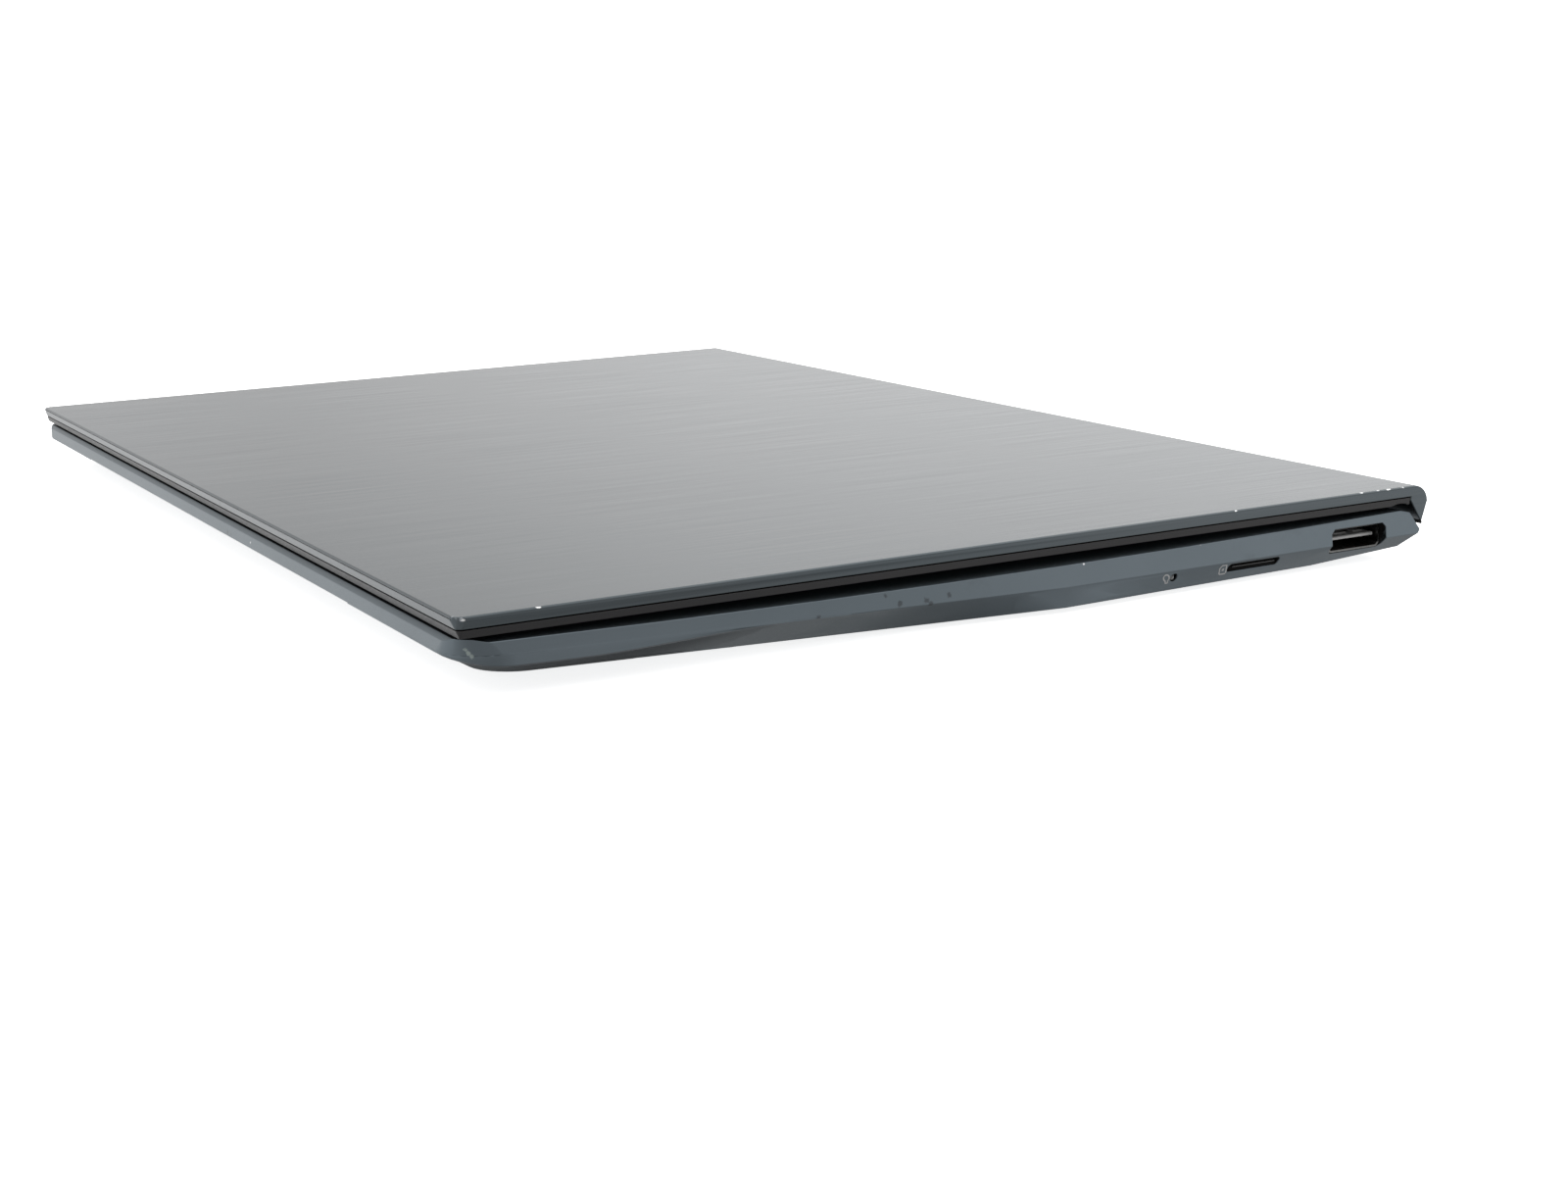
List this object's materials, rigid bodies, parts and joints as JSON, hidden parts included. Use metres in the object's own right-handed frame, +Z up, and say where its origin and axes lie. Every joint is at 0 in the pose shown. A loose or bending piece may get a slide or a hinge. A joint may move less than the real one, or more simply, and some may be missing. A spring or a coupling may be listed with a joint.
{
  "type": "laptop computer",
  "caption": "Closed slim laptop computer with a brushed metal lid, bevelled base, friction hinges, sprung keys, click touchpad and side connectors.",
  "frame": {"origin": "middle of the closed computer's outline, on the table under the rubber feet", "axes": "+X to the user's right, +Y from the user to the hinge, +Z up"},
  "size_m": [0.3038, 0.203, 0.015],
  "materials": {
    "lid_metal": "hairline brushed, anodised blue-grey",
    "case_metal": "fine blasted, anodised blue-grey",
    "bezel_plastic": "fine texture, dark grey",
    "screen_glass": "anti-glare, dark",
    "camera_black": "polished",
    "rubber_black": "matt",
    "copper": "bare drawn copper",
    "hinge_steel": "phosphated",
    "plate_metal": "satin black",
    "screw_steel": "blackened",
    "connector_metal": "bright nickel",
    "connector_plastic": "moulded",
    "clear_plastic": "frosted",
    "battery_black": "moulded",
    "battery_grey": "foil pouch",
    "circuit_board": "solder mask",
    "chip_black": "moulded package",
    "fin_metal": "bare sheet",
    "touchpad_glass": "etched, blue-grey",
    "key_plastic": "soft touch, dark blue-grey"
  },
  "bodies": {
    "base": {"hinge_bracket_right": "hinge_steel", "hinge_bracket_left": "hinge_steel", "top_case": "case_metal", "keyboard_plate": "plate_metal", "bottom_cover": "case_metal", "bottom_screws": "screw_steel", "front_feet": "rubber_black", "rear_foot": "rubber_black", "usb_a_socket": "connector_metal", "usb_a_tongue": "connector_plastic", "card_reader": "connector_metal", "indicator_light_pipe": "clear_plastic", "hdmi_socket": "connector_metal", "type_c_socket_rear": "connector_metal", "type_c_socket_front": "connector_metal", "battery_frame": "battery_black", "battery_cells": "battery_grey", "main_board": "circuit_board", "board_chips": "chip_black", "storage_card": "circuit_board", "wireless_card": "circuit_board", "fan_housing": "plate_metal", "heat_sink_fins": "fin_metal", "heat_pipe": "copper", "speaker_right": "battery_black", "speaker_left": "battery_black"},
    "lid": {"lid_cover": "lid_metal", "screen_bezel": "bezel_plastic", "display_panel": "screen_glass", "webcam_module": "camera_black", "lid_gasket": "rubber_black", "wifi_antennas": "copper", "lid_feet": "rubber_black", "hinge_arm_right": "hinge_steel", "hinge_arm_left": "hinge_steel"},
    "touchpad": {"touchpad": "touchpad_glass"},
    "fan_rotor": {"fan_rotor": "battery_black"},
    "function_keys": {"function_keys": "key_plastic"},
    "power_key": {"power_key": "key_plastic"},
    "number_keys": {"number_keys": "key_plastic"},
    "backspace_key": {"backspace_key": "key_plastic"},
    "tab_key": {"tab_key": "key_plastic"},
    "top_letter_keys": {"top_letter_keys": "key_plastic"},
    "caps_lock_key": {"caps_lock_key": "key_plastic"},
    "middle_letter_keys": {"middle_letter_keys": "key_plastic"},
    "enter_key": {"enter_key": "key_plastic"},
    "left_shift_key": {"left_shift_key": "key_plastic"},
    "lower_letter_keys": {"lower_letter_keys": "key_plastic"},
    "right_shift_key": {"right_shift_key": "key_plastic"},
    "modifier_keys": {"modifier_keys": "key_plastic"},
    "space_key": {"space_key": "key_plastic"},
    "left_arrow_key": {"left_arrow_key": "key_plastic"},
    "up_arrow_key": {"up_arrow_key": "key_plastic"},
    "down_arrow_key": {"down_arrow_key": "key_plastic"},
    "right_arrow_key": {"right_arrow_key": "key_plastic"}
  },
  "joints": [
    {"name": "lid_hinge", "type": "hinge", "parent": "base", "child": "lid", "pos_m": [0, 0.0945, 0.0061], "axis": [-1, 0, 0], "range_deg": [0, 145]},
    {"name": "touchpad_click", "type": "slide", "parent": "base", "child": "touchpad", "axis": [0, 0, -1], "range_m": [0, 0.0003], "stiffness_N_per_m": 2500, "springref_m": -0.0005},
    {"name": "fan_spin", "type": "hinge", "parent": "base", "child": "fan_rotor", "pos_m": [-0.072, 0.0615, 0.0042], "axis": [0, 0, 1], "continuous": true},
    {"name": "function_keys_press", "type": "slide", "parent": "base", "child": "function_keys", "axis": [0, 0, -1], "range_m": [0, 0.0014], "stiffness_N_per_m": 300, "springref_m": -0.0008},
    {"name": "power_key_press", "type": "slide", "parent": "base", "child": "power_key", "axis": [0, 0, -1], "range_m": [0, 0.0014], "stiffness_N_per_m": 300, "springref_m": -0.0008},
    {"name": "number_keys_press", "type": "slide", "parent": "base", "child": "number_keys", "axis": [0, 0, -1], "range_m": [0, 0.0014], "stiffness_N_per_m": 300, "springref_m": -0.0008},
    {"name": "backspace_key_press", "type": "slide", "parent": "base", "child": "backspace_key", "axis": [0, 0, -1], "range_m": [0, 0.0014], "stiffness_N_per_m": 300, "springref_m": -0.0008},
    {"name": "tab_key_press", "type": "slide", "parent": "base", "child": "tab_key", "axis": [0, 0, -1], "range_m": [0, 0.0014], "stiffness_N_per_m": 300, "springref_m": -0.0008},
    {"name": "top_letter_keys_press", "type": "slide", "parent": "base", "child": "top_letter_keys", "axis": [0, 0, -1], "range_m": [0, 0.0014], "stiffness_N_per_m": 300, "springref_m": -0.0008},
    {"name": "caps_lock_key_press", "type": "slide", "parent": "base", "child": "caps_lock_key", "axis": [0, 0, -1], "range_m": [0, 0.0014], "stiffness_N_per_m": 300, "springref_m": -0.0008},
    {"name": "middle_letter_keys_press", "type": "slide", "parent": "base", "child": "middle_letter_keys", "axis": [0, 0, -1], "range_m": [0, 0.0014], "stiffness_N_per_m": 300, "springref_m": -0.0008},
    {"name": "enter_key_press", "type": "slide", "parent": "base", "child": "enter_key", "axis": [0, 0, -1], "range_m": [0, 0.0014], "stiffness_N_per_m": 300, "springref_m": -0.0008},
    {"name": "left_shift_key_press", "type": "slide", "parent": "base", "child": "left_shift_key", "axis": [0, 0, -1], "range_m": [0, 0.0014], "stiffness_N_per_m": 300, "springref_m": -0.0008},
    {"name": "lower_letter_keys_press", "type": "slide", "parent": "base", "child": "lower_letter_keys", "axis": [0, 0, -1], "range_m": [0, 0.0014], "stiffness_N_per_m": 300, "springref_m": -0.0008},
    {"name": "right_shift_key_press", "type": "slide", "parent": "base", "child": "right_shift_key", "axis": [0, 0, -1], "range_m": [0, 0.0014], "stiffness_N_per_m": 300, "springref_m": -0.0008},
    {"name": "modifier_keys_press", "type": "slide", "parent": "base", "child": "modifier_keys", "axis": [0, 0, -1], "range_m": [0, 0.0014], "stiffness_N_per_m": 300, "springref_m": -0.0008},
    {"name": "space_key_press", "type": "slide", "parent": "base", "child": "space_key", "axis": [0, 0, -1], "range_m": [0, 0.0014], "stiffness_N_per_m": 300, "springref_m": -0.0008},
    {"name": "left_arrow_key_press", "type": "slide", "parent": "base", "child": "left_arrow_key", "axis": [0, 0, -1], "range_m": [0, 0.0014], "stiffness_N_per_m": 300, "springref_m": -0.0008},
    {"name": "up_arrow_key_press", "type": "slide", "parent": "base", "child": "up_arrow_key", "axis": [0, 0, -1], "range_m": [0, 0.0014], "stiffness_N_per_m": 300, "springref_m": -0.0008},
    {"name": "down_arrow_key_press", "type": "slide", "parent": "base", "child": "down_arrow_key", "axis": [0, 0, -1], "range_m": [0, 0.0014], "stiffness_N_per_m": 300, "springref_m": -0.0008},
    {"name": "right_arrow_key_press", "type": "slide", "parent": "base", "child": "right_arrow_key", "axis": [0, 0, -1], "range_m": [0, 0.0014], "stiffness_N_per_m": 300, "springref_m": -0.0008}
  ]
}
